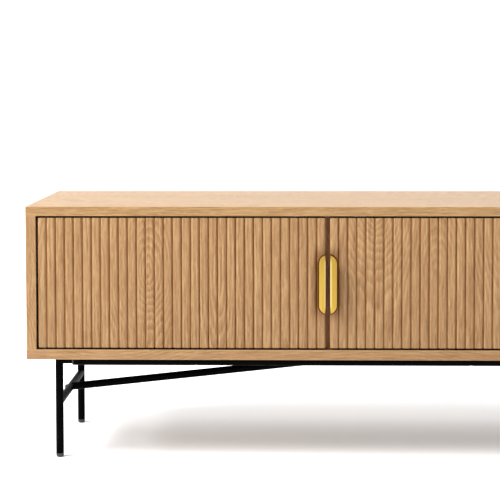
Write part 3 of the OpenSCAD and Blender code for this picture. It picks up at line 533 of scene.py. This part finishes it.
def ringFaces(rings, count, flip=False, start=0):
    # Quads between successive closed rings of count points each, as rows of point numbers.
    row, column = np.meshgrid(np.arange(rings - 1), np.arange(count), indexing="ij")
    after = (column + 1) % count
    a, b = row * count + column, row * count + after
    c, d = (row + 1) * count + after, (row + 1) * count + column
    quads = np.stack([a, b, c, d], axis=-1).reshape(-1, 4) + start
    return (quads[:, ::-1] if flip else quads).tolist()


reeds = {
    "count": 32,
    "trim": 1.0 * mm,       # how far the outermost reeds are cut short
    "relief": 5.0 * mm,     # depth of the grooves
    "flat": 0.40,           # share of a reed's width that is flat
    "power": 3.0,
    "samples": 18,          # steps across one reed
    "chamfer": 1.9 * mm,    # bevel along the top and bottom ends
}


def reedDepth(s, width):
    # Depth below the crests at a distance s from the facing's left edge: nothing over a reed's flat middle,
    # then the third power of the distance out from the flat, so each reed has rounded shoulders and meets the
    # next one in a sharp groove.
    pitch = (width + 2 * reeds["trim"]) / reeds["count"]
    u = (s + reeds["trim"]) / pitch
    e = np.abs(2 * (u - np.floor(u) - 0.5))
    return reeds["relief"] * (np.maximum(0.0, e - reeds["flat"]) / (1 - reeds["flat"])) ** reeds["power"]


def reededFacing(door, count):
    # A closed slab. Its front is the reed profile carried up the door, set back along both ends by a small
    # bevel; its back is flat. Rows run up the door, and each row is a ring: the front from left to right, the
    # back from right to left.
    node = door + "_door_facing"
    low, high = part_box(node)
    width, height = high.x - low.x, high.z - low.z
    pitch = (width + 2 * reeds["trim"]) / reeds["count"]
    s = np.arange(reeds["count"] * reeds["samples"] + 1) * pitch / reeds["samples"] - reeds["trim"]
    s = np.unique(np.clip(s, 0.0, width))
    depth = reedDepth(s, width)
    c = reeds["chamfer"]
    z = np.array([0.0, 0.22, 0.3, 1.0, 1.35]) * c
    z = np.concatenate([z, [height / 2], height - z[::-1]])
    setBack = np.array([0.88, 0.72, 0.62, 0.08, 0.0]) * c
    setBack = np.concatenate([setBack, [0.0], setBack[::-1]])
    x = low.x + s
    frontY = low.y + np.minimum(depth[None, :] + setBack[:, None], high.y - low.y - 0.4 * mm)
    frontX = np.broadcast_to(x, frontY.shape)
    frontZ = np.broadcast_to(low.z + z[:, None], frontY.shape)
    front = np.stack([frontX, frontY, frontZ], -1)
    back = front[:, ::-1].copy()
    back[:, :, 1] = high.y
    rings = np.concatenate([front, back], axis=1)
    total = rings.shape[1]
    faces = ringFaces(len(z), total)
    n = len(s)
    i = np.arange(n - 1)
    bottom = np.stack([i, total - 1 - i, total - 2 - i, i + 1], -1)
    top = bottom[:, ::-1] + (len(z) - 1) * total
    faces += bottom.tolist() + top.tolist()
    shift = (0.23 + 0.9 * count, 0.19, 0.4 * count - 0.2)
    side = hingeSide[door]
    edge = high.x if side > 0 else low.x
    # the middle of the painted shadow round the pull, and where it fades out, to the side and in height
    pullShadow = ((edge, 0.0, (low.z + high.z) / 2), (0.034, 0.012), (0.082, 0.050))
    strength = 0.8 if door == "middle" else 1.0
    material = oakMaterial(door + "ReedOak", "z", "x", shift, None, strength, grooved=True, pullShadow=pullShadow)
    # painted warm shade in the grooves, strongest where they are deepest
    grooveShadeMask = np.broadcast_to(np.clip(depth / (0.5 * reeds["relief"]) - 0.4, 0.0, 1.0), frontY.shape)
    # painted gap shade: the top and bottom bevel rows and the hinge-side edge
    ends = np.zeros_like(rings[:, :, 0])
    ends[[0, 1, -2, -1]] = 1.0
    ends[:, [0, -1] if side > 0 else [n - 1, n]] = 1.0
    grooveShadeRings = np.concatenate([grooveShadeMask, np.zeros_like(grooveShadeMask)], axis=1)
    marks = {"depth": grooveShadeRings.reshape(-1), "ends": ends.reshape(-1)}
    points = rings.reshape(-1, 3)
    piece = meshPiece(door + "_reeds", points, faces, material, door + "_door", 40.0, marks)
    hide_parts(node)
    return piece


pull = {
    "height": 122.0 * mm,
    "width": 15.5 * mm,
    "gap": 9.5 * mm,          # gap between the doors, which cuts the long slot shape in two
    "plate": 6.0 * mm,
    "post": 14.0 * mm,
    "postRadius": 4.5 * mm,
    "postPitch": 64.0 * mm,
    "postInset": 8.06 * mm,   # from the door's edge to the posts
    # a post's outline: mm out from the reeds, and radius as a share of the post's radius
    "postProfile": [(0.0, 1.35), (0.3, 1.32), (0.9, 1.12), (2.2, 1.0), (12.0, 1.0), (13.2, 1.1), (14.2, 1.25)],
    "arcSteps": 26,
    "straightSteps": 6,
    # rings of the plate, from its back to its front, in mm: height above the back, outer inset, inner inset,
    # and how much painted dark reflection (outer side) and how much painted highlight (inner side) the brass
    # has there
    "rings": [(0.0, 0.35, 0.3, 1.0, 0.0), (0.3, 0.1, 0.05, 1.0, 0.0), (0.8, 0.0, 0.0, 1.0, 0.0),
              (1.6, 0.05, 0.0, 1.0, 0.1), (3.2, 0.95, 0.0, 1.0, 0.3), (4.4, 1.65, 0.0, 1.0, 0.6),
              (4.85, 1.88, 0.08, 1.0, 1.0), (5.3, 2.15, 0.8, 0.9, 1.0), (5.75, 2.42, 1.6, 0.75, 1.0),
              (5.95, 2.60, 1.98, 0.3, 0.9), (6.0, 2.85, 2.2, 0.0, 0.0)],
}


def pullOutline(outer, inner):
    # One half of a slot shape, from the door's edge inwards: the upper arc, the straight side, the lower arc
    # and the straight cut along the door's edge. Outer and inner are how far the curved side and the cut are
    # moved in.
    radius = pull["width"] + pull["gap"] / 2
    centre = pull["height"] / 2 - math.sqrt(radius ** 2 - (pull["gap"] / 2) ** 2)
    r, cut = radius - outer, pull["gap"] / 2 + inner
    end = math.acos(cut / r)
    t = np.linspace(0.0, 1.0, pull["arcSteps"] + 1)
    up = np.stack([r * np.cos(end * (1 - t)), centre + r * np.sin(end * (1 - t))], -1)
    k = np.linspace(1.0, -1.0, pull["straightSteps"] + 1)[1:-1]
    side = np.stack([np.full_like(k, r), centre * k], -1)
    down = up[::-1] * np.array([1.0, -1.0])
    j = np.linspace(-1.0, 1.0, 9)[1:-1]
    cutSide = np.stack([np.full_like(j, cut), j * (centre + r * math.sin(end))], -1)
    line = np.concatenate([up, side, down, cutSide])
    line[:, 0] -= pull["gap"] / 2
    return line


def halfPull(door):
    # The plate is the outline carried forward through its rings. Each post is a circle carried from the reed to
    # the plate, with a small flare at its foot.
    side = hingeSide[door]
    low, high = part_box(door + "_door_facing")
    edge = high.x if side > 0 else low.x
    crest, middle = low.y, (low.z + high.z) / 2
    settings = np.array(pull["rings"])
    lines = np.array([pullOutline(outer * mm, inner * mm) for _, outer, inner, _, _ in pull["rings"]])
    rise = np.broadcast_to(settings[:, :1], lines.shape[:2])
    plateX = edge - side * lines[:, :, 0]
    plateY = crest - pull["post"] - rise * mm
    plate = np.stack([plateX, plateY, middle + lines[:, :, 1]], -1)
    curved = np.arange(lines.shape[1]) < 2 * pull["arcSteps"] + 2 + pull["straightSteps"] - 1
    # painted dark reflection of the shaded door on the curved outer side, painted highlight on the straight
    # inner side
    darkReflectionAndShade = np.where(curved, settings[:, 3:4], 0.0)
    wearAndHighlight = np.where(curved, 0.0, settings[:, 4:5])
    count = plate.shape[1]
    flip = side > 0
    faces = ringFaces(len(plate), count, flip)
    order = list(range(count))
    cap = [order[::-1], [n + (len(plate) - 1) * count for n in order]]
    faces += [face[::-1] for face in cap] if flip else cap
    points = [plate.reshape(-1, 3)]
    start = plate.shape[0] * count
    turn = np.linspace(0.0, 2 * math.pi, 33)[:-1]
    profile = np.array(pull["postProfile"])
    for sign in (-1, 1):
        radius = profile[:, 1:] * pull["postRadius"]
        y = crest - profile[:, :1] * mm
        x = edge - side * pull["postInset"] + radius * np.cos(turn)
        z = middle + sign * pull["postPitch"] / 2 + radius * np.sin(turn)
        post = np.stack([x, np.broadcast_to(y, x.shape), z], -1)
        faces += ringFaces(len(profile), len(turn), False, start)
        ring = [start + n for n in range(len(turn))]
        faces.append(ring[::-1])
        faces.append([n + (len(profile) - 1) * len(turn) for n in ring])
        points.append(post.reshape(-1, 3))
        start += len(profile) * len(turn)
    posts = np.zeros(start - plate.shape[0] * count)
    # the posts get painted shade at half strength
    marks = {"darkReflectionAndShade": np.concatenate([darkReflectionAndShade.reshape(-1), posts + 0.5]),
             "wearAndHighlight": np.concatenate([wearAndHighlight.reshape(-1), posts])}
    piece = meshPiece(door + "_pull", np.concatenate(points), faces, slotMaterials["brass"], door + "_door",
                      28.0, marks)
    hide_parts(door + "_handle")
    return piece


for count, door in enumerate(doorNames):
    reededFacing(door, count)
    halfPull(door)
print("stage: reeded facings and pulls")

studio = {
    "world": 1.58,
    "floor": colour(0.82, 0.82, 0.82),
    "floorRoughness": 0.75,
    "key": {"place": (-3.0, -1.3, 3.0), "target": (-0.2, 0.0, 0.3), "size": 1.8, "power": 285.0},
    "floorReach": 40.0,  # half the width of the floor sheet, metres
    "floorCells": 8,
}


def makeFloor():
    # A wide sheet that is flat under the cabinet and keeps its plain pale colour, with a faint mottle.
    reach, cells = studio["floorReach"], studio["floorCells"]
    line = np.linspace(-reach, reach, cells + 1)
    x, y = np.meshgrid(line, line, indexing="xy")
    points = np.stack([x, y, np.zeros_like(x)], -1).reshape(-1, 3)
    i, j = np.meshgrid(np.arange(cells), np.arange(cells), indexing="ij")
    row = cells + 1
    a = (i * row + j).ravel()
    faces = np.stack([a, a + 1, a + row + 1, a + row], -1).tolist()
    mesh = bpy.data.meshes.new("studioFloor")
    mesh.from_pydata(points.tolist(), [], faces)
    floor = bpy.data.objects.new("studioFloor", mesh)
    bpy.context.scene.collection.objects.link(floor)
    material, tree, shader, place = newMaterial("paleFloor", **{"Specular IOR Level": 0.2})
    mottle = noise(tree, stretched(tree, place, (0.8, 0.8, 0.8)), 2.0, 0.5)
    pale = studio["floor"]
    shade = colour(pale[0] * 0.985, pale[1] * 0.985, pale[2] * 0.985)
    tree.links.new(mixColour(tree, mottle, pale, shade), shader.inputs["Base Color"])
    tree.links.new(mulAdd(tree, mottle, 0.1, studio["floorRoughness"]), shader.inputs["Roughness"])
    mesh.materials.append(material)


def makeLight(name, settings):
    lamp = bpy.data.lights.new(name, "AREA")
    lamp.shape = "SQUARE"
    lamp.size = settings["size"]
    lamp.energy = settings["power"]
    holder = bpy.data.objects.new(name, lamp)
    holder.location = settings["place"]
    aim = Vector(settings["target"]) - Vector(settings["place"])
    holder.rotation_euler = aim.to_track_quat("-Z", "Y").to_euler()
    bpy.context.scene.collection.objects.link(holder)
    return holder


makeFloor()
makeLight("keySoftbox", studio["key"])
world = bpy.data.worlds.new("studioWorld")
world.use_nodes = True
background = world.node_tree.nodes["Background"]
background.inputs["Color"].default_value = colour(1.0, 1.0, 1.0)
background.inputs["Strength"].default_value = studio["world"]
bpy.context.scene.world = world
bpy.context.scene.view_settings.view_transform = "Standard"
bpy.context.scene.view_settings.look = "None"

camera = {
    "place": (-0.3571, -2.9969, 0.7739),
    "turn": -1.137,     # degrees to the left, about Z
    "tilt": 2.537,      # degrees down
    "roll": -0.072,
    "lens": 101.411,
    "shift": (-0.036, -0.215),
}
cameraData = bpy.data.cameras.new("studioCamera")
cameraData.sensor_width = 36.0
cameraData.lens = camera["lens"]
cameraData.shift_x, cameraData.shift_y = camera["shift"]
cameraData.clip_start, cameraData.clip_end = 0.05, 200.0
cameraObject = bpy.data.objects.new("studioCamera", cameraData)
turn, tilt, roll = (math.radians(camera[key]) for key in ("turn", "tilt", "roll"))
ahead = Vector((math.sin(turn) * math.cos(tilt), math.cos(turn) * math.cos(tilt), -math.sin(tilt)))
cameraObject.location = camera["place"]
cameraObject.rotation_mode = "QUATERNION"
cameraObject.rotation_quaternion = ahead.to_track_quat("-Z", "Y") @ Euler((0.0, 0.0, roll)).to_quaternion()
bpy.context.scene.collection.objects.link(cameraObject)
bpy.context.scene.camera = cameraObject
print("stage: studio ready")
